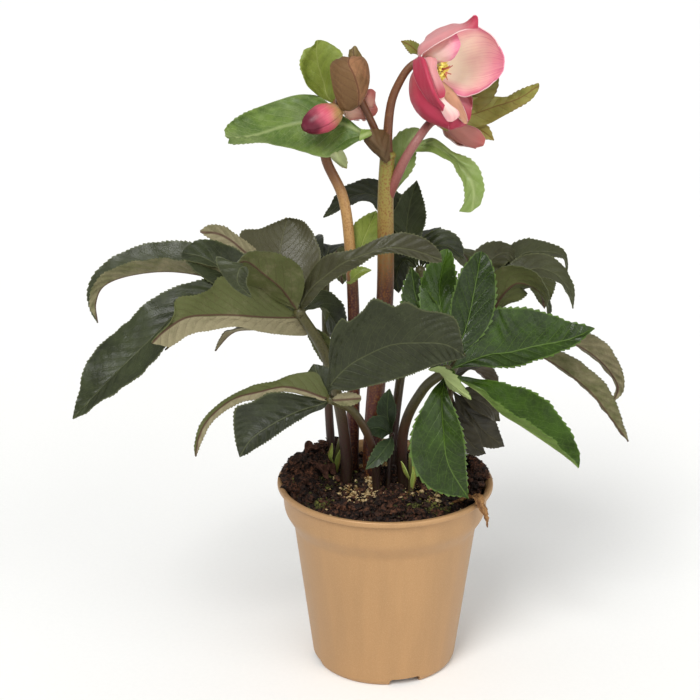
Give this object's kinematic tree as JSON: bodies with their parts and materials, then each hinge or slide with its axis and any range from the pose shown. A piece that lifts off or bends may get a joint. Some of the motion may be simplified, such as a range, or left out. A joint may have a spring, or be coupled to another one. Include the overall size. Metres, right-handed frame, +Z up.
{
  "type": "potted hellebore",
  "caption": "Flowering hellebore in a tapered pot: toothed evergreen leaves on stalks, two flowering stalks with bracts, an open pink bloom, a closed bud and half-open blooms.",
  "frame": {"origin": "centre of the pot's flat base", "axes": "+Z up the plant, -Y towards the front of the plant, where the open bloom turns to the right, +X to the right seen from the front"},
  "size_m": [0.3212, 0.1962, 0.3924],
  "materials": {
    "pot_plastic": "thin moulded plastic, plain gold-tan, satin with a faint metallic sheen",
    "potting_mix": "dark brown peat crumbs, matt, with a little moss and pale grit",
    "stalk_skin": "smooth plant skin, olive speckled with red-brown, satin",
    "dark_leaf": "leathery evergreen leaf, dark grey-green, semi-gloss above and matt beneath",
    "bright_leaf": "leathery evergreen leaf, bright dark green with pale veins, semi-gloss",
    "purple_leaf": "young leaf, purple-brown, satin",
    "young_leaf": "young leaf, dull green, satin",
    "green_bract": "soft bract, mid green with pale veins, satin",
    "lime_bract": "soft bract, yellow-green, satin",
    "olive_bract": "soft bract, olive flushed with brown, satin",
    "brown_bract": "soft bract, red-brown flushed with olive, satin",
    "pink_sepal": "waxy sepal, crimson to pale pink and cream, satin",
    "salmon_sepal": "waxy sepal, salmon pink flushed with brown, satin",
    "nectary": "small waxy tubes, yellow-green, satin",
    "anther": "powdery anthers on pale filaments, yellow, matt",
    "style": "slender styles, dull red, satin",
    "dry_leaf": "withered leaf, brown, matt"
  },
  "bodies": {
    "root": {"pot": "pot_plastic", "soil": "potting_mix", "flower_stalk_main": "stalk_skin", "flower_stalk_side": "stalk_skin", "leaf_left_upper": "dark_leaf", "leaf_front": "dark_leaf", "leaf_right_front": "bright_leaf", "leaf_right_back": "dark_leaf", "leaf_back": "dark_leaf", "leaf_back_left": "dark_leaf", "leaf_low_right": "purple_leaf", "young_shoot": "young_leaf", "sheathed_bud_left": "lime_bract", "sheathed_bud_right": "lime_bract", "bract_left_large": "green_bract", "bract_upright_lime": "lime_bract", "bract_folded_brown": "brown_bract", "bract_arching_right": "green_bract", "bract_olive_right": "olive_bract", "bract_olive_tip": "olive_bract", "bract_side_low": "lime_bract", "bract_side_middle": "lime_bract", "bract_side_upper": "lime_bract", "bloom_open_sepals": "pink_sepal", "bloom_open_nectaries": "nectary", "bloom_open_stamens": "anther", "bloom_open_styles": "style", "bloom_low_right": "salmon_sepal", "bloom_hidden_left": "salmon_sepal", "bud_closed": "pink_sepal", "dry_leaf_scrap": "dry_leaf"}
  },
  "joints": []
}
